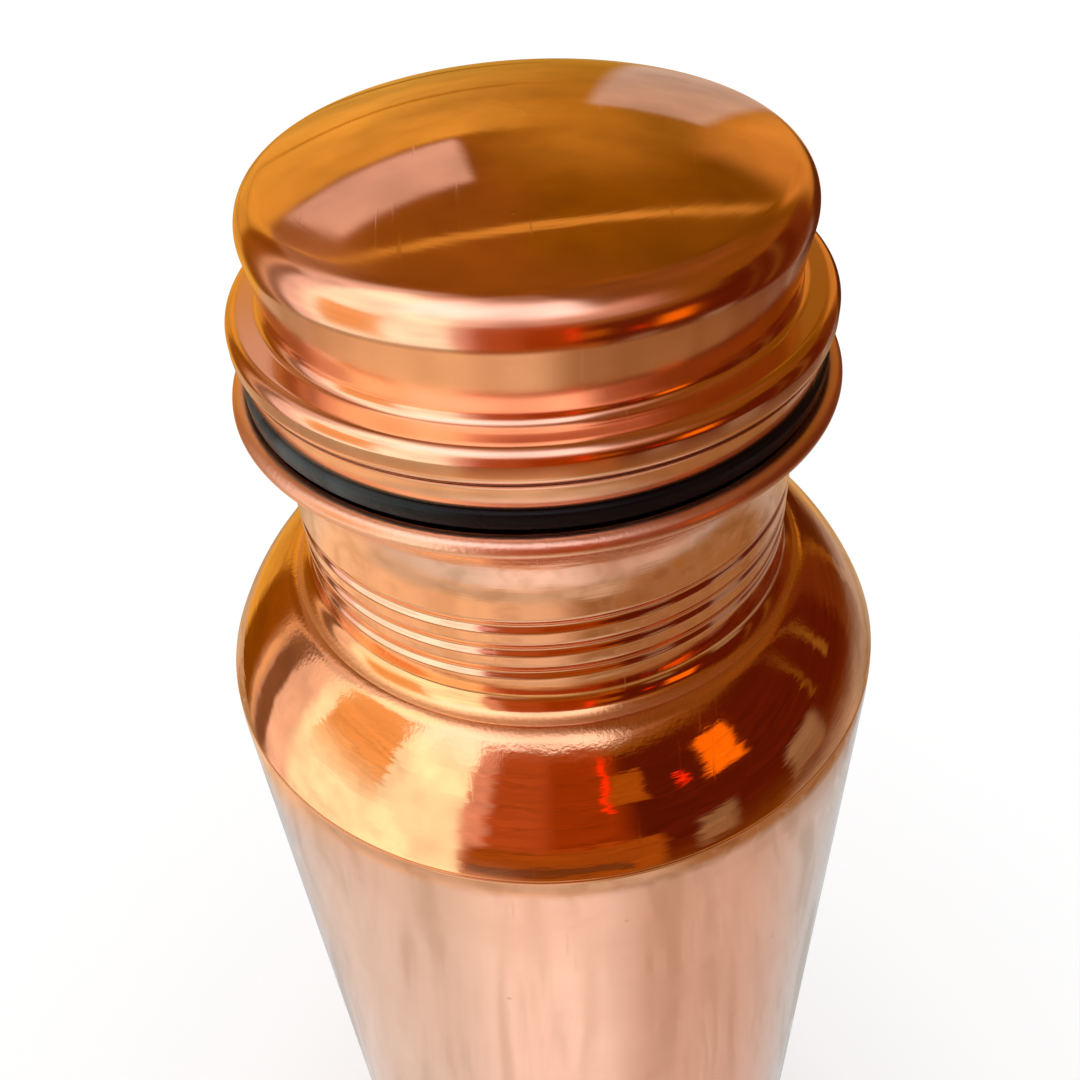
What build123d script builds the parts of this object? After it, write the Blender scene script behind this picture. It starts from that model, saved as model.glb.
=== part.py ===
"""Copper water bottle: a soldered body of spun sheet copper and a screw cap with a rubber ring.

Millimetres. +Z is up and the origin is the centre of the foot, on the surface it stands on.
Every shell is drawn as one line in the XZ half plane, given the sheet's thickness on one side
of that line, and turned about Z.
"""

import os
from math import asin, degrees, radians, sin

from build123d import *

# Driving dimensions
SHEET = 0.6  # copper sheet, the same all over
BODY_R = 36.5  # outside of the straight wall
RIM_Z = 240.0  # centre of the rolled rim
RIM_TO_CREASE = 34.6  # rolled rim down to the crease where the shoulder meets the wall
SOLDER_GAP = 0.05  # room left between two sheets that are soldered together

# Foot and bottom pan
FOOT_BEND_R = 4.0
FOOT_LIP_R = 30.0  # inner edge of the turned-in foot
PAN_FLANGE = 3.0
PAN_HOLLOW_R = 26.0  # where the raised middle of the pan ends
PAN_CROWN_R = 150.0
PAN_RISE = 5.5

# Shoulder
CREASE_Z = RIM_Z - RIM_TO_CREASE
SHOULDER_LOW_R = BODY_R - 0.2
SHOULDER_TOP_R = 27.7
SHOULDER_TOP_Z = RIM_Z - 23.15
SHOULDER_MID = (32.65, RIM_Z - 28.15)
SKIRT_DEPTH = 5.0  # how far the shoulder reaches down inside the wall

# Neck, with the flared mouth
THROAT_R = 25.3  # outside of the neck on the crests of the thread
COVE_R = SHOULDER_TOP_R - THROAT_R
COVE_SWEEP = 80
CURL_R = 1.0
CURL_SWEEP = 265  # the rim is rolled this far round from upright
FLARE_R = 23.92
FLARE_ANGLE = 25.33
LAP = 1.5  # width of the lap under the shoulder's edge
JOGGLE_R = 26.8  # where the neck's sheet steps down to the lap
JOGGLE_DROP = 0.1

# Screw thread: a groove rolled into the neck stands out inside it, between the turns of a rib
# on the plug. The rib starts half a turn further round, so it runs midway between them.
PITCH = 3.0
THREAD_LOW = RIM_Z - 18.65
THREAD_TURNS = 2.5
GROOVE_DEPTH = 0.5
GROOVE_HALF_WIDTH = 1.0
INSIDE_HALF_WIDTH = 1.1
RIB_HEIGHT = 1.2
RIB_HALF_WIDTH = 0.9

# Cap
CAP_TOP = RIM_Z + 23.6
DOME_R = 69.0
CAP_EDGE_R = 3.8
TIER_R = 25.1  # widest radius of the upper tier
TIER_TAPER = 8  # degrees by which its side leans in
WAIST_R = 24.0
WAIST_ROUND = 1.0
BEAD_R = 27.8
BEAD_Z = RIM_Z + 7.7
BEAD_HALF = 1.45  # half the height of the bead
BEAD_ROUND = 1.4
BAND_TOP_R = 27.3
BAND_R = 27.1
BAND_LOW = RIM_Z + 3.1

# Plug inside the cap
PLUG_R = 23.3
PLUG_LOW = RIM_Z - 21.0
PLUG_TOP = RIM_Z + 12.0
PLUG_LIP = 1.6
PLUG_BEND_R = 1.0
DISC_FLANGE = 4.0

# Rubber ring between the cap's band and the rim
RING_IN_R = 23.8
RING_OUT_R = 27.45
RING_LOW = RIM_Z + CURL_R + 0.1
RING_HIGH = BAND_LOW - 0.05
RING_ROUND = 0.5

os.makedirs("parts", exist_ok=True)


def finish(piece, name):
    """Label a finished piece and write it to its own file."""
    piece.part.label = name
    export_step(piece.part, f"parts/{name}.step")


def thread_path(start_angle, radius):
    """A right-handed helix about Z that starts at start_angle degrees from +X."""
    helix = Helix(PITCH, PITCH * THREAD_TURNS, radius, mode=Mode.PRIVATE)
    return Pos(0, 0, THREAD_LOW) * Rot(0, 0, start_angle) * helix


def thread_section(path, root, crest, half_width):
    """A ridge's outline across the start of a path: half_width on it and half that at the crest.

    Root and crest are measured from the path, away from Z.
    """
    start = path @ 0
    foot = half_width * (1 - root / crest / 2)
    top = half_width / 2
    with BuildSketch(Plane(origin=start, x_dir=(start.X, start.Y, 0), z_dir=path % 0)) as section:
        with BuildLine():
            Polyline((root, -foot), (crest, -top), (crest, top), (root, foot), close=True)
        make_face()
    return section.sketch


# The straight wall, with its lower edge turned in as the foot
with BuildPart() as body_wall:
    with BuildSketch(Plane.XZ):
        with BuildLine():
            side = Line((BODY_R, CREASE_Z - SOLDER_GAP), (BODY_R, FOOT_BEND_R))
            bend = JernArc(side @ 1, side % 1, FOOT_BEND_R, -90)
            Line(bend @ 1, (FOOT_LIP_R, 0))
            offset(amount=SHEET, side=Side.RIGHT)
        make_face()
    revolve(axis=Axis.Z)
finish(body_wall, "body_wall")

# The bottom pan: it stands on the foot inside the wall, and its middle is raised
with BuildPart() as base_disc:
    pan_low = SHEET + SOLDER_GAP
    pan_bend_r = FOOT_BEND_R - SHEET
    pan_flat_r = BODY_R - SHEET - SOLDER_GAP - pan_bend_r
    with BuildSketch(Plane.XZ):
        with BuildLine():
            crown_angle = degrees(asin(PAN_HOLLOW_R / PAN_CROWN_R))
            crown = JernArc((0, pan_low + PAN_RISE), (1, 0), PAN_CROWN_R, -crown_angle)
            seat = Line((FOOT_LIP_R, pan_low), (pan_flat_r, pan_low))
            Line(crown @ 1, seat @ 0)
            bend = JernArc(seat @ 1, seat % 1, pan_bend_r, 90)
            Line(bend @ 1, bend @ 1 + (0, PAN_FLANGE))
            offset(amount=SHEET, side=Side.LEFT)
        make_face()
    revolve(axis=Axis.Z)
finish(base_disc, "base_disc")

# The shoulder: a spun shell with a skirt that is soldered inside the wall
with BuildPart() as shoulder:
    skirt_r = BODY_R - SHEET - SOLDER_GAP
    with BuildSketch(Plane.XZ):
        with BuildLine():
            shoulder_top = (SHOULDER_TOP_R, SHOULDER_TOP_Z)
            shoulder_low = (SHOULDER_LOW_R, CREASE_Z + SHEET / 2)
            shell = ThreePointArc(shoulder_top, SHOULDER_MID, shoulder_low)
            offset(amount=SHEET, side=Side.RIGHT)
        make_face()
        with BuildLine():
            Line((skirt_r, CREASE_Z + 2 * SHEET), (skirt_r, CREASE_Z - SKIRT_DEPTH))
            offset(amount=SHEET, side=Side.RIGHT)
        make_face()
    revolve(axis=Axis.Z)
finish(shoulder, "shoulder")

# The neck: lap, cove, threaded throat, flare and rolled rim, spun from one sheet
with BuildPart() as neck:
    throat_in_r = THROAT_R - SHEET
    with BuildSketch(Plane.XZ):
        with BuildLine():
            flare_low = RIM_Z - (FLARE_R - CURL_R) * sin(radians(FLARE_ANGLE))
            throat = Line((throat_in_r, SHOULDER_TOP_Z + COVE_R), (throat_in_r, flare_low))
            flare = JernArc(throat @ 1, throat % 1, FLARE_R, -FLARE_ANGLE)
            JernArc(flare @ 1, flare % 1, CURL_R, FLARE_ANGLE - CURL_SWEEP)
            offset(amount=SHEET, side=Side.RIGHT)
        make_face()
        with BuildLine():
            JernArc((THROAT_R, SHOULDER_TOP_Z + COVE_R), (0, -1), COVE_R, COVE_SWEEP)
            offset(amount=SHEET, side=Side.RIGHT)
        make_face()
        with BuildLine():
            slope = shell % 0
            under = Vector(slope.Y, -slope.X) * (SHEET + 2 * SOLDER_GAP)
            joggle = (JOGGLE_R, SHOULDER_TOP_Z - JOGGLE_DROP)
            lap_start = Vector(*shoulder_top) + under
            Polyline(joggle, lap_start, lap_start + slope * LAP)
            offset(amount=SHEET, side=Side.RIGHT)
        make_face()
    revolve(axis=Axis.Z)
    inside = thread_path(180, throat_in_r)
    sweep(thread_section(inside, SHEET / 2, -GROOVE_DEPTH, INSIDE_HALF_WIDTH), inside, is_frenet=True)
    groove = thread_path(180, THROAT_R)
    section = thread_section(groove, SHEET / 2, -GROOVE_DEPTH, GROOVE_HALF_WIDTH)
    sweep(section, groove, is_frenet=True, mode=Mode.SUBTRACT)
finish(neck, "neck")

# The cap's cover: dome, upper tier, rolled bead and plain band, pressed from one sheet
with BuildPart() as cap_cover:
    bead_top = BEAD_Z + BEAD_HALF
    bead_low = BEAD_Z - BEAD_HALF
    dome_angle = degrees(asin((TIER_R - CAP_EDGE_R) / (DOME_R - CAP_EDGE_R)))
    with BuildSketch(Plane.XZ):
        with BuildLine():
            dome = JernArc((0, CAP_TOP), (1, 0), DOME_R, -dome_angle)
            edge = JernArc(dome @ 1, dome % 1, CAP_EDGE_R, dome_angle - 90 - TIER_TAPER)
            tier = [edge @ 1, (WAIST_R, bead_top)]
            bead = [(BEAD_R, bead_top), (BEAD_R, bead_low)]
            band = [(BAND_TOP_R, bead_low - SHEET), (BAND_R, BAND_LOW)]
            rounds = [WAIST_ROUND, BEAD_ROUND, BEAD_ROUND, SHEET]
            FilletPolyline(*tier, *bead, *band, radius=rounds)
            offset(amount=SHEET, side=Side.RIGHT)
        make_face()
    revolve(axis=Axis.Z)
finish(cap_cover, "cap_cover")

# The threaded plug: a sleeve soldered inside the cap's waist, with its lower edge turned in
with BuildPart() as cap_plug:
    with BuildSketch(Plane.XZ):
        with BuildLine():
            lip = (PLUG_R - PLUG_LIP, PLUG_LOW)
            FilletPolyline((PLUG_R, PLUG_TOP), (PLUG_R, PLUG_LOW), lip, radius=PLUG_BEND_R)
            offset(amount=SHEET, side=Side.RIGHT)
        make_face()
    revolve(axis=Axis.Z)
    rib = thread_path(0, PLUG_R)
    sweep(thread_section(rib, -SHEET / 2, RIB_HEIGHT, RIB_HALF_WIDTH), rib, is_frenet=True)
finish(cap_plug, "cap_plug")

# The disc that closes the plug, standing on its turned-in edge
with BuildPart() as plug_disc:
    disc_r = PLUG_R - SHEET - SOLDER_GAP
    disc_low = PLUG_LOW + SHEET + SOLDER_GAP
    with BuildSketch(Plane.XZ):
        with BuildLine():
            rise = (disc_r, disc_low + DISC_FLANGE)
            FilletPolyline((0, disc_low), (disc_r, disc_low), rise, radius=PLUG_BEND_R)
            offset(amount=SHEET, side=Side.LEFT)
        make_face()
    revolve(axis=Axis.Z)
finish(plug_disc, "plug_disc")

# The rubber ring, squeezed between the cap's band and the rolled rim
with BuildPart() as gasket:
    with BuildSketch(Plane.XZ):
        with Locations(((RING_IN_R + RING_OUT_R) / 2, (RING_LOW + RING_HIGH) / 2)):
            outline = Rectangle(RING_OUT_R - RING_IN_R, RING_HIGH - RING_LOW)
        fillet(outline.vertices().sort_by(Axis.X)[-2:], RING_ROUND)
    revolve(axis=Axis.Z)
finish(gasket, "gasket")
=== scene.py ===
from math import acos, asin, atan2, ceil, cos, degrees, hypot, pi, radians, sin, tan, tau

import bmesh
import bpy
from mathutils import Matrix, Vector


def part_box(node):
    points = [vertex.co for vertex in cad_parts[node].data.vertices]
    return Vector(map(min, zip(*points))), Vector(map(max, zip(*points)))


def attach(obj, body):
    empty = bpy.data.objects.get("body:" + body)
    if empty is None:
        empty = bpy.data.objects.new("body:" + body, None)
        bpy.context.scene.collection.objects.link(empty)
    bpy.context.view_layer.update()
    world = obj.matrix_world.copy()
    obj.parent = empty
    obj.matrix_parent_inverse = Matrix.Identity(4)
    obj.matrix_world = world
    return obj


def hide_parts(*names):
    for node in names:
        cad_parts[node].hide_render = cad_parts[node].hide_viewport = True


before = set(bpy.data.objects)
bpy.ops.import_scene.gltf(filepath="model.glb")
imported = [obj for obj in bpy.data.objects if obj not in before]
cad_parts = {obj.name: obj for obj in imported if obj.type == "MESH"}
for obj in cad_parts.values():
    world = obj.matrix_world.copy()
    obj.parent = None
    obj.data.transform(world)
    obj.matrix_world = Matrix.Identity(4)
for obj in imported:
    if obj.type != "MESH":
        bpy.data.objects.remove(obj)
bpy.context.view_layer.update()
scene = bpy.context.scene

# ---------------------------------------------------------------- Camera
# It stands a hand's breadth in front of the neck, above the cap, and looks down on the shoulder.
# Heights below are measured from the middle of the rolled rim, one roll radius under its top.
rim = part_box("neck")[1].z - 0.001
lens_place = Vector((0, -0.0932, rim + 0.0594))
look_down = 41.94
look_aside = -0.43
lean = -3.75

camera = bpy.data.objects.new("camera", bpy.data.cameras.new("camera"))
scene.collection.objects.link(camera)
turn = Matrix.Rotation(radians(-look_aside), 4, "Z")
tip = Matrix.Rotation(radians(90 - look_down), 4, "X")
roll = Matrix.Rotation(radians(lean), 4, "Z")
camera.matrix_world = Matrix.Translation(lens_place) @ turn @ tip @ roll
camera.data.lens = 37.66
camera.data.clip_start = 0.005
scene.camera = camera
scene.view_settings.view_transform = "Standard"


# ---------------------------------------------------------------- Studio
# White light from all round falls on the floor and the rubber. Polished copper shows its
# surroundings instead, so in the mirror directions soft cards stand round the bottle: a tall
# window at the left, amber walls behind, and a dark red cloth close by, in front and at the right.
def add(tree, kind, *values, **settings):
    """A new shader node, its inputs filled in order with numbers, colours or other outputs."""
    new = tree.nodes.new("ShaderNode" + kind)
    for setting, value in settings.items():
        setattr(new, setting, value)
    for socket, value in zip(new.inputs, values):
        if isinstance(value, bpy.types.NodeSocket):
            tree.links.new(value, socket)
        elif value is not None:
            socket.default_value = value
    return new


def scaled(tree, kind, vector, scale, **named):
    """A texture node on a vector, with its scale and its other named inputs set."""
    new = add(tree, kind, vector)
    for socket, value in {"Scale": scale, **named}.items():
        new.inputs[socket].default_value = value
    return new


def soft_band(tree, place, middle, width, soft):
    """1 where a value is within half the width of the middle, with soft edges, and 0 outside."""
    away = add(tree, "Math", add(tree, "Math", place, middle, operation="SUBTRACT").outputs[0],
               operation="ABSOLUTE").outputs[0]
    edge = add(tree, "MapRange", away, width / 2 - soft, width / 2 + soft, 1, 0,
               interpolation_type="SMOOTHSTEP")
    return edge.outputs[0]


def lay_card(tree, under, around, up, middle, width, low, high, soft, colour):
    """Lays a soft-edged card over the colours so far. Its middle and width are degrees round Z."""
    away = add(tree, "Math", around, middle, operation="SUBTRACT").outputs[0]
    wrapped = add(tree, "Math", away, 180, -180, operation="WRAP").outputs[0]
    across = soft_band(tree, wrapped, 0, width, soft)
    along = soft_band(tree, up, (low + high) / 2, high - low, soft)
    mask = add(tree, "Math", across, along, operation="MULTIPLY").outputs[0]
    return add(tree, "MixRGB", mask, under, (*colour, 1)).outputs[0]


def compass(tree, vector):
    """Degrees round Z from the camera's side, growing towards +X, and the vector's parts."""
    parts = add(tree, "SeparateXYZ", vector)
    front = add(tree, "Math", parts.outputs[1], -1, operation="MULTIPLY").outputs[0]
    angle = add(tree, "Math", parts.outputs[0], front, operation="ARCTAN2").outputs[0]
    return add(tree, "Math", angle, degrees(1), operation="MULTIPLY").outputs[0], parts.outputs


def bare_material(name):
    """A material with no nodes yet, and its tree."""
    material = bpy.data.materials.new(name)
    material.use_nodes = True
    material.node_tree.nodes.clear()
    return material, material.node_tree


def made(bm, name, material):
    """An object at the origin from a finished bmesh."""
    mesh = bpy.data.meshes.new(name)
    bm.to_mesh(mesh)
    bm.free()
    mesh.materials.append(material)
    new = bpy.data.objects.new(name, mesh)
    scene.collection.objects.link(new)
    return new


world = bpy.data.worlds.new("studio")
scene.world = world
world.use_nodes = True
sky = world.node_tree
sky.nodes.clear()
direction = add(sky, "TexCoord").outputs["Generated"]
around, parts = compass(sky, direction)
height = add(sky, "Math", parts[2], operation="ARCSINE").outputs[0]
up = add(sky, "Math", height, degrees(1), operation="MULTIPLY").outputs[0]
cards = [
    # middle and width round Z, low and high over the horizon and softness, all in degrees, and the
    # colour: walls first, then what hangs in front of them
    (150, 60, 15, 62, 6, (0.24, 0.090, 0.002)),
    (112, 84, -50, -16, 5, (0.45, 0.350, 0.310)),
    (-118, 50, -50, 50, 8, (0.42, 0.200, 0.100)),
    (-20, 100, 40, 80, 16, (0.60, 0.400, 0.380)),
    (8, 76, 12, 56, 16, (0.66, 0.370, 0.330)),
    (76, 104, 44, 88, 8, (0.24, 0.080, 0.015)),
    (-62, 92, -50, 70, 10, (1.00, 0.720, 0.720)),
    (-60, 60, -50, 62, 3, (1.32, 1.320, 1.250)),
    (-18, 84, 36, 66, 9, (1.60, 1.420, 1.700)),
    (147, 28, -4, 27, 4, (0.66, 0.290, 0.050)),
    (-158, 56, -50, 28, 1, (0.76, 0.400, 0.060)),
    (-158, 56, -8, -6.5, 0.5, (0.35, 0.130, 0.000)),
    (-158, 56, 9, 10, 0.5, (0.45, 0.190, 0.010)),
    (-125, 16, -50, 30, 2, (0.26, 0.080, 0.002)),
    (172, 20, -50, 40, 8, (0.46, 0.210, 0.020)),
    (167, 12, -12, 19, 1, (0.60, 0.430, 0.340)),
    (-160, 24, 29, 42, 1, (0.74, 0.500, 0.450)),
    (-113, 3, -50, 30, 1, (0.80, 0.480, 0.300)),
    (-106, 8, -50, 30, 1, (0.24, 0.110, 0.060)),
    (160, 30, -50, -12, 4, (0.70, 0.420, 0.160)),
]
room = (0.265, 0.090, 0.008, 1)
for card in cards:
    room = lay_card(sky, room, around, up, *card)
clutter = scaled(sky, "TexNoise", direction, 3.2, Detail=4, Roughness=0.6).outputs[0]
clutter = add(sky, "MapRange", clutter, 0.3, 0.7, 0.70, 1.25).outputs[0]
room = add(sky, "VectorMath", room, clutter, operation="MULTIPLY").outputs[0]

# A bright rail high up behind, bent round an axis that points back.
rail_axis, rail_place, rail_width, rail_soft = (-0.089, 0.969, 0.231), 0.745, 0.018, 0.006
rail = add(sky, "VectorMath", direction, rail_axis, operation="DOT_PRODUCT").outputs["Value"]
on_rail = soft_band(sky, rail, rail_place, rail_width, rail_soft)
above = add(sky, "MapRange", parts[2], 0.5, 0.6, 0, 0.8).outputs[0]
rail_mask = add(sky, "Math", on_rail, above, operation="MULTIPLY").outputs[0]
room = add(sky, "MixRGB", rail_mask, room, (0.86, 0.44, 0.08, 1)).outputs[0]

mirrored = add(sky, "LightPath").outputs["Is Glossy Ray"]
light = add(sky, "Background", (1, 1, 1, 1), 1.12).outputs[0]
mirror_light = add(sky, "Background", room, 1.0).outputs[0]
both = add(sky, "MixShader", mirrored, light, mirror_light).outputs[0]
sky.links.new(both, add(sky, "OutputWorld").inputs[0])
world.cycles.sampling_method = "NONE"

# The floor: a wide pale sheet. The copper mirrors it as a pale cloth with soft folds, on a table
# of warm wood that reaches a little further. There it glows with painted colours, with painted
# shade in the folds and painted shade and a painted highlight along their creases.
floor_radius, table_radius = 1.6, 0.43
paper, tree = bare_material("pale_paper")
place = add(tree, "TexCoord").outputs["Object"]
around, parts = compass(tree, place)
far = add(tree, "VectorMath", place, operation="LENGTH").outputs["Value"]
far_mm = add(tree, "Math", far, 1000, operation="MULTIPLY").outputs[0]
inside, cloth_edge, outside = -300, 172, 900
table_tones = [
    # middle and width in degrees, from and to in millimetres from the bottle, softness, colour
    (-54, 120, inside, cloth_edge, 24, (0.82, 0.78, 0.76)),
    (46, 80, inside, cloth_edge, 24, (0.70, 0.54, 0.48)),
    (-8, 48, inside, cloth_edge, 16, (1.10, 0.98, 0.98)),
    (180, 100, 205, outside, 24, (0.58, 0.34, 0.12)),
    (-64, 140, cloth_edge, outside, 18, (1.06, 0.74, 0.46)),
    (58, 130, cloth_edge, outside, 18, (0.36, 0.18, 0.06)),
    (-8, 32, cloth_edge, outside, 12, (0.92, 0.64, 0.44)),
    (-30, 130, 180, 220, 12, (0.70, 0.57, 0.44)),
    (-64, 140, 300, outside, 24, (0.68, 0.40, 0.22)),
    (0, 240, 350, outside, 24, (0.40, 0.29, 0.17)),
]
table = (0.61, 0.65, 0.68, 1)
for tone in table_tones:
    table = lay_card(tree, table, around, far_mm, *tone)
aim = add(tree, "VectorMath", place, operation="NORMALIZE").outputs[0]
spread = add(tree, "VectorMath", aim, (2.6, 2.6, 0), operation="MULTIPLY").outputs[0]
drift = add(tree, "Math", far, 14, operation="MULTIPLY").outputs[0]
drift = add(tree, "CombineXYZ", 0, 0, drift).outputs[0]
spread = add(tree, "VectorMath", spread, drift, operation="ADD").outputs[0]
folds = scaled(tree, "TexNoise", spread, 1.2, Detail=2, Distortion=1.6).outputs[0]
# Painted shade: the cloth's colour is darkened in its folds.
shaded = add(tree, "MixRGB", 1, table, (0.80, 0.77, 0.72, 1), blend_type="MULTIPLY").outputs[0]
painted_fold_shade = add(tree, "MapRange", folds, 0.46, 0.62, 0, 1).outputs[0]
table = add(tree, "MixRGB", painted_fold_shade, table, shaded).outputs[0]
# Painted shade along three creases of the folds, and a painted highlight along one.
creases = [
    # level in the folds, strength, colour
    (0.47, 0.35, (0.35, 0.26, 0.22)),
    (0.52, 0.30, (1.20, 1.15, 1.10)),
    (0.56, 0.30, (0.42, 0.30, 0.25)),
    (0.42, 0.25, (0.50, 0.36, 0.30)),
]
for level, strength, colour in creases:
    crease = soft_band(tree, folds, level, 0.012, 0.008)
    crease = add(tree, "Math", crease, strength, operation="MULTIPLY").outputs[0]
    table = add(tree, "MixRGB", crease, table, (*colour, 1)).outputs[0]
in_copper = add(tree, "LightPath").outputs["Is Glossy Ray"]
clear = add(tree, "BsdfTransparent").outputs[0]
mirrored_table = add(tree, "Emission", table).outputs[0]
off_table = add(tree, "Math", far, table_radius, operation="GREATER_THAN").outputs[0]
mirrored_table = add(tree, "MixShader", off_table, mirrored_table, clear).outputs[0]
pale = add(tree, "BsdfDiffuse", (0.93, 0.93, 0.93, 1)).outputs[0]
mixed = add(tree, "MixShader", in_copper, pale, mirrored_table).outputs[0]
tree.links.new(mixed, add(tree, "OutputMaterial").inputs[0])
bm = bmesh.new()
bmesh.ops.create_circle(bm, cap_ends=True, segments=96, radius=floor_radius)
floor = made(bm, "floor", paper)

# Three curved cards a hand's breadth from the bottle, which show only in reflections: a dark red
# cloth in front and at the right, from below the shoulder to above the rim, a darker piece at its
# right end, and an amber shade in front of the window.
card_radius = 0.100
fade_middle, fade_soft = 11, 18  # millimetres above a card's lower edge, and to either side


def near_card(name, left, right, low, high, layers, base, seam):
    """A card round part of the bottle, in degrees and in millimetres from the rim.

    Its layers are laid over its base colour. Its sides and seams are frayed by up to the seam's
    degrees, and it fades out towards its lower edge.
    """
    bm = bmesh.new()
    corner = Vector((sin(radians(left)), -cos(radians(left)), 0)) * card_radius
    ends = [bm.verts.new(corner + Vector((0, 0, rim + z / 1000))) for z in (low, high)]
    bmesh.ops.spin(bm, geom=ends + [bm.edges.new(ends)], cent=(0, 0, 0), axis=(0, 0, 1),
                   angle=radians(right - left), steps=64)
    cloth, tree = bare_material(name)
    card = made(bm, name, cloth)
    for ray in ("camera", "diffuse", "transmission", "shadow", "volume_scatter"):
        setattr(card, "visible_" + ray, False)
    around, parts = compass(tree, add(tree, "TexCoord").outputs["Object"])
    lifted = add(tree, "Math", parts[2], rim, operation="SUBTRACT").outputs[0]
    lifted = add(tree, "Math", lifted, 1000, operation="MULTIPLY").outputs[0]
    slow = add(tree, "Math", around, 0.05, operation="MULTIPLY").outputs[0]
    weave = add(tree, "CombineXYZ", slow, lifted, 0).outputs[0]
    frayed = scaled(tree, "TexNoise", weave, 0.45, Detail=3).outputs[0]
    fray = add(tree, "MapRange", frayed, 0.25, 0.75, -seam, seam).outputs[0]
    around = add(tree, "Math", around, fray, operation="ADD").outputs[0]
    colour = (*base, 1)
    for layer in layers:
        colour = lay_card(tree, colour, around, lifted, *layer)
    streaky = add(tree, "MapRange", frayed, 0.3, 0.7, 0.72, 1.2).outputs[0]
    glow = add(tree, "Emission", colour, streaky).outputs[0]
    across = soft_band(tree, around, (left + right) / 2, right - left - 2 * seam, 0.5)
    along = soft_band(tree, lifted, high, 2 * (high - low - fade_middle), fade_soft)
    mask = add(tree, "Math", across, along, operation="MULTIPLY").outputs[0]
    clear = add(tree, "BsdfTransparent").outputs[0]
    glow = add(tree, "MixShader", mask, clear, glow).outputs[0]
    tree.links.new(glow, add(tree, "OutputMaterial").inputs[0])


near_card("red_cloth", -28, 118, -64, 44, [
    # middle and width in degrees, low and high in millimetres from the rim, softness, colour
    (-16, 30, -70, 60, 4, (0.46, 0.095, 0.025)),
    (-24, 9, -40, 60, 2, (0.82, 0.400, 0.380)),
    (6, 20, -70, 60, 4, (0.34, 0.050, 0.003)),
    (0, 48, -70, -30, 2, (0.38, 0.095, 0.010)),
    (-4, 40, -46, -41, 1, (0.16, 0.050, 0.020)),
    (12, 2, -12, 30, 0.6, (1.20, 0.050, 0.004)),
    (18, 9, -8, 12, 1, (0.42, 0.110, 0.006)),
    (12, 26, 32, 60, 4, (0.42, 0.080, 0.012)),
    (46, 12, -14, 12, 1.5, (1.15, 0.250, 0.004)),
    (33, 3, -8, 0, 0.8, (1.20, 0.040, 0.003)),
    (38, 50, 30, 60, 6, (0.26, 0.090, 0.008)),
    (38, 10, -48, -32, 2, (0.30, 0.190, 0.130)),
    (68, 14, -50, -32, 2, (0.32, 0.210, 0.150)),
    (78, 2, -30, 60, 0.8, (0.22, 0.080, 0.010)),
    (90, 3, -30, 60, 1, (0.28, 0.120, 0.020)),
    (112, 20, -70, 60, 3, (0.17, 0.035, 0.006)),
], (0.11, 0.012, 0.002), 2.4)
near_card("dark_side", 117, 146, -60, 10, [], (0.10, 0.020, 0.004), 2)
near_card("amber_shade", -76, -46, -32, 40, [], (1.00, 0.520, 0.220), 3)


# ---------------------------------------------------------------- Body wall
# The straight wall is drawn from one copper sheet, 0.6 mm thick, and its lower edge is rolled in
# as the foot. It is polished along its length, which leaves soft upright streaks.
sheet = 0.6
solder_gap = 0.05


def arc(across, up, radius, start, end, count=12):
    """Points on an arc about a centre, from one angle to another, in degrees from +X."""
    turns = [radians(start + (end - start) * i / count) for i in range(count + 1)]
    return [(across + radius * cos(a), up + radius * sin(a)) for a in turns]


def rounded(corners, radii, step=0.25):
    """A line through corners, each inner one rounded to its radius."""
    line = [Vector(corners[0])]
    for before, at, after, radius in zip(corners, corners[1:], corners[2:], radii):
        at = Vector(at)
        back, on = (Vector(before) - at).normalized(), (Vector(after) - at).normalized()
        half = acos(max(-1, min(1, back.dot(on)))) / 2
        centre = at + (back + on).normalized() * radius / sin(half)
        first = at + back * radius / tan(half) - centre
        sweep = pi - 2 * half
        side = 1 if back.cross(on) < 0 else -1
        count = max(3, ceil(sweep * radius / step))
        for i in range(count + 1):
            line.append(centre + Matrix.Rotation(side * sweep * i / count, 2) @ first)
    line.append(Vector(corners[-1]))
    return [tuple(p) for p in line]


def spun(outline, steps=240):
    """An outline, in millimetres out from and up along Z, spun about Z into an open sheet.

    Going along the outline, the sheet's faces look to the left.
    """
    bm = bmesh.new()
    verts = [bm.verts.new((x / 1000, 0, z / 1000)) for x, z in outline]
    edges = [bm.edges.new(pair) for pair in zip(verts, verts[1:])]
    longest = max(edges, key=lambda edge: edge.calc_length())
    a, b = (v.co.copy() for v in longest.verts)
    left = Vector((a.z - b.z, 0, b.x - a.x))
    bmesh.ops.spin(bm, geom=verts + edges, cent=(0, 0, 0), axis=(0, 0, 1), angle=tau,
                   steps=steps, use_merge=True)
    bmesh.ops.remove_doubles(bm, verts=bm.verts, dist=1e-7)
    bmesh.ops.recalc_face_normals(bm, faces=bm.faces)
    bm.normal_update()
    beside = min(bm.faces, key=lambda f: (f.calc_center_median() - (a + b) / 2).length)
    if beside.normal.dot(left) < 0:
        bmesh.ops.reverse_faces(bm, faces=bm.faces)
    return bm


def thicken(bm, edge_round=0.1):
    """Gives an open sheet its thickness, to the right of its outline, and eases its edges."""
    bmesh.ops.solidify(bm, geom=bm.faces, thickness=sheet / 1000)
    cut = [e for e in bm.edges if e.is_manifold and e.calc_face_angle() > radians(60)]
    bmesh.ops.bevel(bm, geom=cut, offset=edge_round / 1000, segments=2, profile=0.5,
                    affect="EDGES", material=-1)


def piece(bm, name, material):
    """A smooth-shaded object with sharp edges where its faces meet at 40 degrees or more."""
    new = made(bm, name, material)
    new.data.shade_smooth()
    new.data.set_sharp_from_angle(angle=radians(40))
    return new


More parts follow.
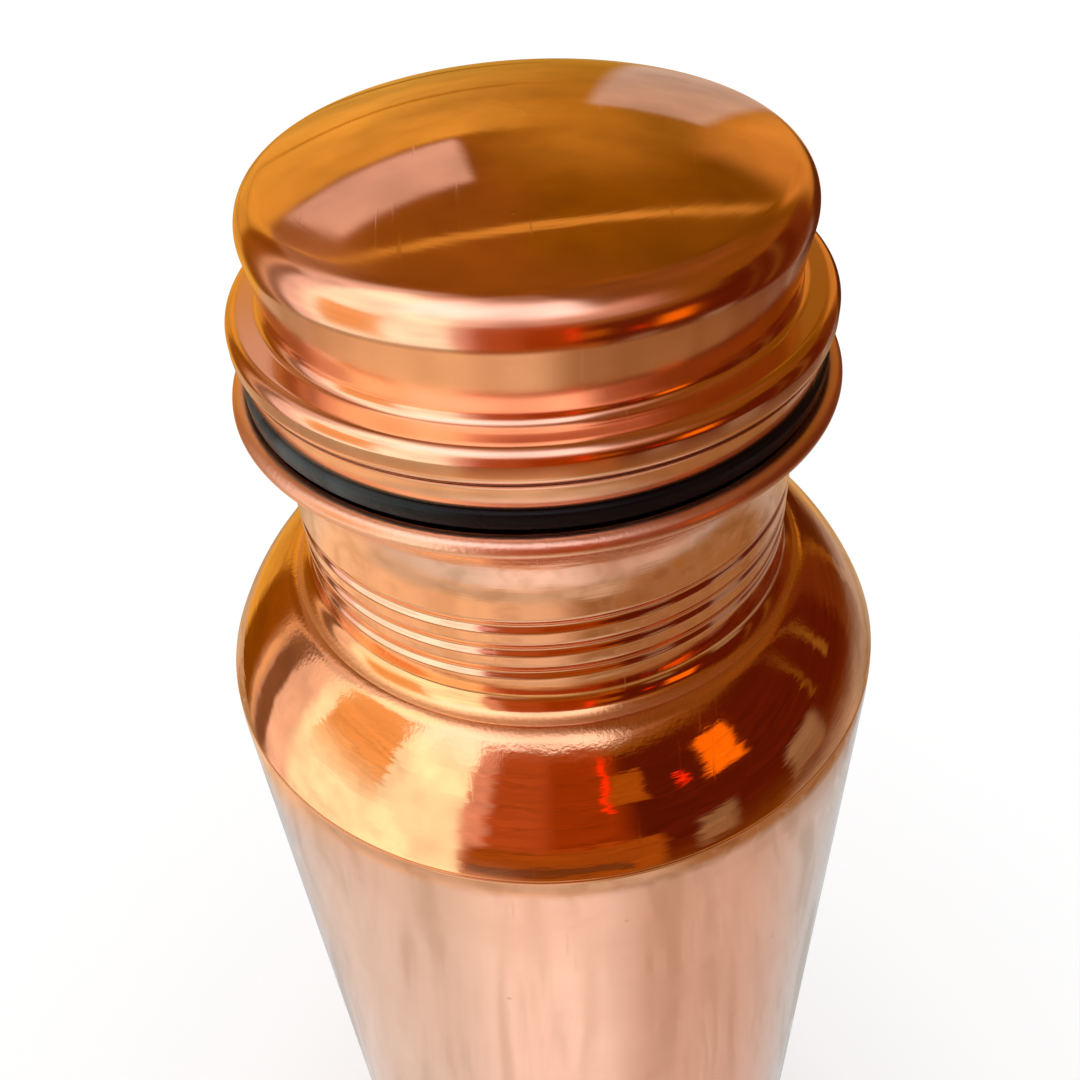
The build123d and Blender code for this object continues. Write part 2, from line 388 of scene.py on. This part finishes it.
def effect(name, inputs, outputs):
    """An empty node group with named number inputs, and named outputs given with their kinds."""
    tree = bpy.data.node_groups.new(name, "ShaderNodeTree")
    for socket in inputs:
        tree.interface.new_socket(socket, in_out="INPUT", socket_type="NodeSocketFloat")
    for socket, kind in outputs.items():
        tree.interface.new_socket(socket, in_out="OUTPUT", socket_type="NodeSocket" + kind)
    return tree, tree.nodes.new("NodeGroupInput").outputs, tree.nodes.new("NodeGroupOutput").inputs


# Lathe lines: rings round Z that waver slowly on their way round. Lines runs across the rings,
# and Spacing is how many there are in a metre.
lathe_lines, given, result = effect("lathe_lines", ["Spacing", "Waver"], {"Lines": "Float"})
tree = lathe_lines
parts = add(tree, "SeparateXYZ", add(tree, "TexCoord").outputs["Object"]).outputs
flat = add(tree, "CombineXYZ", parts[0], parts[1], 0).outputs[0]
out = add(tree, "VectorMath", flat, operation="LENGTH").outputs["Value"]
aim = add(tree, "VectorMath", flat, operation="NORMALIZE").outputs[0]
aim = add(tree, "SeparateXYZ", aim).outputs
out = add(tree, "Math", out, given["Spacing"], operation="MULTIPLY").outputs[0]
tall = add(tree, "Math", parts[2], given["Spacing"], operation="MULTIPLY").outputs[0]
east = add(tree, "Math", aim[0], given["Waver"], operation="MULTIPLY").outputs[0]
north = add(tree, "Math", aim[1], given["Waver"], operation="MULTIPLY").outputs[0]
rings = add(tree, "TexNoise", add(tree, "CombineXYZ", out, tall, east).outputs[0], north,
            noise_dimensions="4D")
rings.inputs["Scale"].default_value = 1
rings.inputs["Detail"].default_value = 2
tree.links.new(rings.outputs[0], result["Lines"])

# Handling: hazy smudges, hair scratches in two directions, and tiny specks of grit in the polish.
handling, given, result = effect("handling", ["Seed"],
                                 {"Smudge": "Float", "Scratch": "Float", "Speck": "Float"})
tree = handling
place = add(tree, "TexCoord").outputs["Object"]
moved = add(tree, "VectorMath", place, given["Seed"], operation="ADD").outputs[0]
cloud = scaled(tree, "TexNoise", moved, 60, Detail=4, Roughness=0.6).outputs[0]
smudge = add(tree, "MapRange", cloud, 0.48, 0.72, 0, 1, interpolation_type="SMOOTHSTEP")
tree.links.new(smudge.outputs[0], result["Smudge"])
hairs = None
for tilt, stretch in ((35, 1800), (-50, 1500)):
    leaned = add(tree, "Mapping", moved, None, (radians(tilt), 0.3, radians(tilt)),
                 (stretch, 110, 110))
    hair = scaled(tree, "TexNoise", leaned.outputs[0], 1, Detail=1).outputs[0]
    thin = add(tree, "MapRange", hair, 0.735, 0.77, 0, 1).outputs[0]
    if hairs is not None:
        thin = add(tree, "Math", hairs, thin, operation="MAXIMUM").outputs[0]
    hairs = thin
tree.links.new(hairs, result["Scratch"])
grit = scaled(tree, "TexVoronoi", moved, 170)
dot = add(tree, "MapRange", grit.outputs["Distance"], 0.03, 0.06, 1, 0).outputs[0]
chosen = add(tree, "SeparateXYZ", grit.outputs["Color"]).outputs[0]
few = add(tree, "Math", chosen, 0.82, operation="GREATER_THAN").outputs[0]
speck = add(tree, "Math", dot, few, operation="MULTIPLY").outputs[0]
tree.links.new(speck, result["Speck"])

# Copper tone: bright new copper, redder in clouds, more golden or duller where it is asked for.
new_copper, red_copper = (0.955, 0.60, 0.42, 1), (0.90, 0.48, 0.31, 1)
gold_copper, dull_copper = (0.95, 0.54, 0.22, 1), (0.62, 0.36, 0.24, 1)
copper_tone, given, result = effect("copper_tone", ["Redder", "Golden", "Dulled"],
                                    {"Tone": "Color"})
tree = copper_tone
clouds = scaled(tree, "TexNoise", add(tree, "TexCoord").outputs["Object"], 22, Detail=5,
                Roughness=0.6).outputs[0]
warm = add(tree, "MapRange", clouds, 0.35, 0.7, 0, 1).outputs[0]
warm = add(tree, "Math", warm, given["Redder"], operation="MULTIPLY").outputs[0]
tone = add(tree, "MixRGB", warm, new_copper, red_copper).outputs[0]
tone = add(tree, "MixRGB", given["Golden"], tone, gold_copper).outputs[0]
tone = add(tree, "MixRGB", given["Dulled"], tone, dull_copper).outputs[0]
tree.links.new(tone, result["Tone"])


def use(tree, group, *values):
    """Places a node group, its inputs filled in order."""
    new = add(tree, "Group", node_tree=group)
    for socket, value in zip(new.inputs, values):
        if isinstance(value, bpy.types.NodeSocket):
            tree.links.new(value, socket)
        else:
            socket.default_value = value
    return new.outputs


def metal(name):
    """A material with a bare Principled shader set to metal, its tree and its shader."""
    material = bpy.data.materials.new(name)
    material.use_nodes = True
    shader = material.node_tree.nodes["Principled BSDF"]
    shader.inputs["Metallic"].default_value = 1
    return material, material.node_tree, shader


def bump(tree, height, depth, under=None):
    """Bumps a surface by a height from 0 to 1 that is depth millimetres tall, over other bumps."""
    new = add(tree, "Bump")
    new.inputs["Strength"].default_value = 1
    new.inputs["Distance"].default_value = depth / 1000
    tree.links.new(height, new.inputs["Height"])
    if under is not None:
        tree.links.new(under, new.inputs["Normal"])
    return new.outputs[0]


# Besides its fine rings a turned surface has rings this many times as broad and as deep.
broader = 9
scratch_depth, speck_depth = 0.0012, 0.006


def polished_copper(name, rings, ring_depth, rough, haze, redder=0.5, golden=0.0, seed=0.0,
                    waver=2.0, grained=None):
    """Copper turned and polished on a lathe. Rings is how many there are in a metre.

    Golden is one amount, or two heights in metres and the amounts at them. Grained says where the
    polish leaves a dull grain: whether it is measured out from Z or up it, between which two
    millimetre marks it grows, how deep it is and how much it adds to the roughness. Depths are in
    millimetres.
    """
    material, tree, shader = metal(name)
    lines = use(tree, lathe_lines, rings, waver)["Lines"]
    broad = use(tree, lathe_lines, rings / broader, waver / 2)["Lines"]
    marks = use(tree, handling, seed)
    dull = add(tree, "Math", marks["Speck"], 0.5, operation="MULTIPLY").outputs[0]
    if isinstance(golden, tuple):
        tall = add(tree, "SeparateXYZ", add(tree, "TexCoord").outputs["Object"]).outputs[2]
        golden = add(tree, "MapRange", tall, *golden).outputs[0]
    tone = use(tree, copper_tone, redder, golden, dull)["Tone"]
    tree.links.new(tone, shader.inputs["Base Color"])
    hazy = add(tree, "MapRange", marks["Smudge"], 0, 1, rough, rough + haze).outputs[0]
    hazy = add(tree, "MapRange", marks["Scratch"], 0, 1, hazy, rough + haze).outputs[0]
    normal = bump(tree, broad, ring_depth * broader)
    normal = bump(tree, lines, ring_depth, normal)
    if grained:
        measure, start, end, depth, rougher = grained
        place = add(tree, "TexCoord").outputs["Object"]
        x, y, tall = add(tree, "SeparateXYZ", place).outputs
        flat = add(tree, "CombineXYZ", x, y, 0).outputs[0]
        out = add(tree, "VectorMath", flat, operation="LENGTH").outputs["Value"]
        low, high = sorted((start, end))
        where = add(tree, "MapRange", out if measure == "out" else tall, low / 1000, high / 1000,
                    int(start > end), int(start < end), interpolation_type="SMOOTHSTEP").outputs[0]
        grain = scaled(tree, "TexNoise", place, 2400, Detail=2).outputs[0]
        grain = add(tree, "Math", grain, where, operation="MULTIPLY").outputs[0]
        normal = bump(tree, grain, depth, normal)
        more = add(tree, "Math", where, rougher, operation="MULTIPLY").outputs[0]
        hazy = add(tree, "Math", hazy, more, operation="ADD").outputs[0]
    tree.links.new(hazy, shader.inputs["Roughness"])
    normal = bump(tree, marks["Scratch"], scratch_depth, normal)
    normal = bump(tree, marks["Speck"], speck_depth, normal)
    tree.links.new(normal, shader.inputs["Normal"])
    return material


# The wall's own finish: as above, with upright streaks from polishing along the bottle.
wall_copper = polished_copper("wall_copper", 500, 0.008, 0.10, 0.10, redder=0.4, seed=0.2)
tree = wall_copper.node_tree
shader = tree.nodes["Principled BSDF"]
stretched = add(tree, "Mapping", add(tree, "TexCoord").outputs["Object"], None, None,
                (150, 150, 9)).outputs[0]
streaks = scaled(tree, "TexNoise", stretched, 1, Detail=3).outputs[0]
streaked = bump(tree, streaks, 0.03, shader.inputs["Normal"].links[0].from_socket)
tree.links.new(streaked, shader.inputs["Normal"])

wall_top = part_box("body_wall")[1].z * 1000
wall_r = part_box("body_wall")[1].x * 1000
foot_bend, foot_lip = 4.0, 30.0
dressed, dressed_lean = 3.0, 5  # the top of the wall is dressed to lean in a little
dressed_r = dressed / sin(radians(dressed_lean))
outline = arc(wall_r - dressed_r, wall_top - dressed, dressed_r, dressed_lean, 0, 8)
straight, wall_rows = wall_top - dressed - foot_bend, 24
outline += [(wall_r, foot_bend + straight * (1 - i / wall_rows)) for i in range(1, wall_rows)]
outline += arc(wall_r - foot_bend, foot_bend, foot_bend, 0, -90)
outline += [(foot_lip, 0)]
bm = spun(outline)
thicken(bm, 0.05)
body_wall = piece(bm, "wall_shell", wall_copper)
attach(body_wall, "bottle")
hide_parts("body_wall")

# ---------------------------------------------------------------- Bottom pan
# A pressed pan soldered inside the foot. Its flat rests on the turned-in edge and its middle is
# domed up, so the bottle stands on the foot. Seen from below it is duller than the outside.
pan_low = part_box("base_disc")[0].z * 1000
pan_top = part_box("base_disc")[1].z * 1000
pan_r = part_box("base_disc")[1].x * 1000
pan_bend = 3.4
crown_r, crown_rise, hollow_r = 150.0, 5.5, 26.0
crown = arc(0, pan_low + crown_rise - crown_r, crown_r, 90, 90 - degrees(hollow_r / crown_r), 16)
outline = crown + [(foot_lip, pan_low), (pan_r - pan_bend, pan_low)]
outline += arc(pan_r - pan_bend, pan_low + pan_bend, pan_bend, -90, 0)[1:]
outline += [(pan_r, pan_top)]
bm = spun([(x, z) for x, z in reversed(outline)], steps=160)
thicken(bm, 0.05)
pan_copper = polished_copper("pan_copper", 700, 0.006, 0.22, 0.15, seed=3.1)
base_disc = piece(bm, "bottom_pan", pan_copper)
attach(base_disc, "bottle")
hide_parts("base_disc")

# ---------------------------------------------------------------- Shoulder
# A spun shell from the neck out to the wall. Its skirt is soldered inside the wall, and the
# joint is dressed to a small round so that only a hairline is left at the crease.
shoulder_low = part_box("shoulder")[0].z * 1000
skirt_r = wall_r - sheet - solder_gap
rim_mm = rim * 1000
round_centre, round_r = (9.678, rim_mm - 45.942), 29.056
crest_centre, crest_r = (25.973, rim_mm - 26.909), 4.0
crest_start, crest_end = 74.3, 49.43
low_angle, crease_r = 23.62, 0.7
outline = arc(*crest_centre, crest_r, crest_start, crest_end, 12)
outline += arc(*round_centre, round_r, crest_end, low_angle, 48)[1:]
low_side = Vector((cos(radians(low_angle)), sin(radians(low_angle))))
crease_centre = Vector(outline[-1]) - low_side * crease_r
outline += arc(*crease_centre, crease_r, low_angle, dressed_lean, 8)[1:]
outline += [(skirt_r, outline[-1][1] - 0.2), (skirt_r, shoulder_low)]
bm = spun(outline)
thicken(bm, 0.08)
shoulder_copper = polished_copper("shoulder_copper", 1800, 0.009, 0.05, 0.08, golden=0.7,
                                  seed=1.7, waver=9, grained=("out", 31.5, 28, 0.016, 0.10))
shoulder = piece(bm, "shoulder_shell", shoulder_copper)
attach(shoulder, "bottle")
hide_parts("shoulder")

# ---------------------------------------------------------------- Neck
# Spun from one sheet: a lap under the shoulder's edge, a hollow cove, a straight throat with the
# screw thread rolled in from outside, a flare, and an edge rolled over as the rim. The cove is
# painted more golden and a little darker, as painted shade in its hollow, and the flare's edge is
# grainier than the rest.
throat_in, throat_out = 24.7, 25.3
cove_r, cove_across, cove_height = 2.4, 27.7, rim_mm - 20.75
flare_r, flare_angle = 23.92, 25.33
curl_r, curl_sweep = 1.0, 265
flare_low = rim_mm - (flare_r - curl_r) * sin(radians(flare_angle))
curl_across = throat_in + flare_r - (flare_r - curl_r) * cos(radians(flare_angle))
under = crest_r - 2 * sheet - solder_gap
outline = arc(*crest_centre, under, 48, 68, 5)
outline += arc(cove_across, cove_height, cove_r + sheet, crest_start - 180, -180, 16)
throat_rows = 70
outline += [(throat_in, cove_height + (flare_low - cove_height) * i / throat_rows)
            for i in range(1, throat_rows)]
outline += arc(throat_in + flare_r, flare_low, flare_r, 180, 180 - flare_angle, 24)
outline += arc(curl_across, rim_mm, curl_r, 180 - flare_angle, 180 - curl_sweep, 28)[1:]
bm = spun(outline)

pitch, thread_turns = 3.0, 2.5
thread_low = rim_mm - 18.65
groove_depth, groove_power = 0.24, 3.5


def thread_height(point, start, turns, fade=0.2):
    """How much of a helical ridge stands at a point: 1 on its middle line, and 0 off it."""
    first = ((degrees(atan2(point.y, point.x)) - start) / 360) % 1
    turn = round((point.z * 1000 - thread_low) / pitch - first) + first
    away = point.z * 1000 - (thread_low + pitch * turn)
    run_in = min(1, max(0, (turn + fade) / fade)) * min(1, max(0, (turns + fade - turn) / fade))
    return cos(pi * min(0.5, abs(away) / pitch)) ** 2 * run_in


for vert in bm.verts:
    out = hypot(vert.co.x, vert.co.y)
    if out * 1000 < throat_out and cove_height < vert.co.z * 1000 < flare_low + 1.2:
        rolled = groove_depth * thread_height(vert.co, 180, thread_turns) ** groove_power / 1000
        vert.co.xy *= (out - rolled) / out
thicken(bm, 0.08)
# Painted shade: the cove is made more golden and a little darker, fading out up the throat.
cove_shade_gold = (rim - 0.0215, rim - 0.0185, 0.85, 0.06)
neck_copper = polished_copper("neck_copper", 2600, 0.005, 0.10, 0.10, redder=0.3, golden=cove_shade_gold,
                              seed=5.3, waver=6, grained=("out", 25.8, 27.0, 0.03, 0.24))
neck = piece(bm, "neck_shell", neck_copper)
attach(neck, "bottle")
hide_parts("neck")

# ---------------------------------------------------------------- Rubber ring
# A flat black ring that lies on the rolled rim and seals the cap. It has the fine grain of
# moulded rubber, and a pale blue-grey painted sheen on its left side, standing in for the window's
# reflection.
ring_low, ring_top = (corner.z * 1000 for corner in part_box("gasket"))
ring_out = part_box("gasket")[1].x * 1000
ring_in, inner_round, outer_round = 23.8, 0.2, 0.5
ring_mid = (ring_low + ring_top) / 2
outline = rounded([(ring_in, ring_mid), (ring_in, ring_top), (ring_out, ring_top),
                   (ring_out, ring_low), (ring_in, ring_low), (ring_in, ring_mid)],
                  [inner_round, outer_round, outer_round, inner_round], 0.1)
bm = spun(outline)
rubber = bpy.data.materials.new("moulded_rubber")
rubber.use_nodes = True
tree = rubber.node_tree
shader = tree.nodes["Principled BSDF"]
place = add(tree, "TexCoord").outputs["Object"]
sheen_and_matt_noise = scaled(tree, "TexNoise", place, 260, Detail=4).outputs[0]
sideways = add(tree, "SeparateXYZ", place).outputs[0]
# Painted sheen: towards the left the black turns to a pale blue-grey in blotches, as the window's
# reflection.
painted_sheen = add(tree, "MapRange", sideways, -0.022, -0.006, 1, 0, interpolation_type="SMOOTHSTEP")
painted_sheen = add(tree, "Math", painted_sheen.outputs[0], sheen_and_matt_noise, operation="MULTIPLY").outputs[0]
black_and_sheen = add(tree, "MixRGB", painted_sheen, (0.002, 0.002, 0.003, 1), (0.10, 0.13, 0.13, 1)).outputs[0]
matt = add(tree, "MapRange", sheen_and_matt_noise, 0.3, 0.7, 0.22, 0.38).outputs[0]
shader.inputs["Specular IOR Level"].default_value = 0.18
tree.links.new(black_and_sheen, shader.inputs["Base Color"])
tree.links.new(matt, shader.inputs["Roughness"])
grain = scaled(tree, "TexNoise", place, 2600, Detail=2).outputs[0]
tree.links.new(bump(tree, grain, 0.02), shader.inputs["Normal"])
ring = piece(bm, "ring_rubber", rubber)
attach(ring, "ring")
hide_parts("gasket")

# ---------------------------------------------------------------- Cap cover
# One pressed shell: a shallow dome, a tier whose side leans in to a waist, a rolled bead that the
# fingers grip, and a plain band down to the rubber ring.
cap_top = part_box("cap_cover")[1].z * 1000
cap_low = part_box("cap_cover")[0].z * 1000
bead_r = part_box("cap_cover")[1].x * 1000
dome_r, edge_r, tier_r, taper = 69.0, 3.8, 25.1, 8
waist_r, waist_round, bead_round = 24.0, 1.0, 1.4
band_r, band_top_r, hollow_round = 27.1, 27.3, 1.6
bead_top, bead_low = rim_mm + 9.15, rim_mm + 6.25
dome_angle = degrees(asin((tier_r - edge_r) / (dome_r - edge_r)))
outline = arc(0, cap_top - dome_r, dome_r, 90, 90 - dome_angle, 40)
edge_across = (dome_r - edge_r) * sin(radians(dome_angle))
edge_up = cap_top - dome_r + (dome_r - edge_r) * cos(radians(dome_angle))
outline += arc(edge_across, edge_up, edge_r, 90 - dome_angle, -taper, 24)[1:]
outline += rounded([outline[-1], (waist_r, bead_top), (bead_r, bead_top), (bead_r, bead_low),
                    (band_top_r, bead_low - sheet), (band_r, cap_low)],
                   [waist_round, bead_round, bead_round, hollow_round], 0.12)[1:]
bm = spun(outline, steps=288)
thicken(bm, 0.12)
cap_copper = polished_copper("cap_copper", 1500, 0.0025, 0.05, 0.05, redder=0.4, golden=0.2,
                             seed=8.9, grained=("up", rim_mm + 21.5, rim_mm + 18, 0, 0.12))
cap_cover = piece(bm, "cap_shell", cap_copper)
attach(cap_cover, "cap")
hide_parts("cap_cover")

# ---------------------------------------------------------------- Plug sleeve
# The threaded sleeve soldered inside the cap's waist. Its thread is rolled out from inside to run
# between the turns of the neck's, and its lower edge is turned in to hold the disc.
plug_low, plug_top = (corner.z * 1000 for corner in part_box("cap_plug"))
plug_r, plug_bend, plug_lip = 23.3, 1.0, 1.6
rib_height, rib_power = 1.2, 1.5
sleeve_rows = 100
outline = [(plug_r, plug_top + (plug_low + plug_bend - plug_top) * i / sleeve_rows)
           for i in range(sleeve_rows)]
outline += arc(plug_r - plug_bend, plug_low + plug_bend, plug_bend, 0, -90)
outline += [(plug_r - plug_lip, plug_low)]
bm = spun(outline)
for vert in bm.verts:
    out = hypot(vert.co.x, vert.co.y)
    if out * 1000 > plug_r - 0.01:
        rolled = rib_height * thread_height(vert.co, 0, thread_turns) ** rib_power / 1000
        vert.co.xy *= (out + rolled) / out
thicken(bm, 0.08)
plug_copper = polished_copper("plug_copper", 2200, 0.004, 0.14, 0.12, redder=0.7, seed=12.4)
cap_plug = piece(bm, "plug_sleeve", plug_copper)
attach(cap_plug, "cap")
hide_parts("cap_plug")

# ---------------------------------------------------------------- Plug disc
# The pressed disc that closes the sleeve, standing on its turned-in edge, with one stiffening
# step pressed in and its rim turned up for the solder.
disc_low, disc_top = (corner.z * 1000 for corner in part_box("plug_disc"))
disc_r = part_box("plug_disc")[1].x * 1000
step_r, step_width, step_rise = 15.0, 1.4, 0.6
step_round, disc_bend = 1.5, 1.0
outline = rounded([(0, disc_low + step_rise), (step_r, disc_low + step_rise),
                   (step_r + step_width, disc_low), (disc_r, disc_low), (disc_r, disc_top)],
                  [step_round, step_round, disc_bend], 0.2)
bm = spun([(x, z) for x, z in reversed(outline)], steps=160)
thicken(bm, 0.05)
disc_copper = polished_copper("disc_copper", 900, 0.005, 0.16, 0.12, seed=15.2)
plug_disc = piece(bm, "plug_bottom", disc_copper)
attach(plug_disc, "cap")
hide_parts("plug_disc")
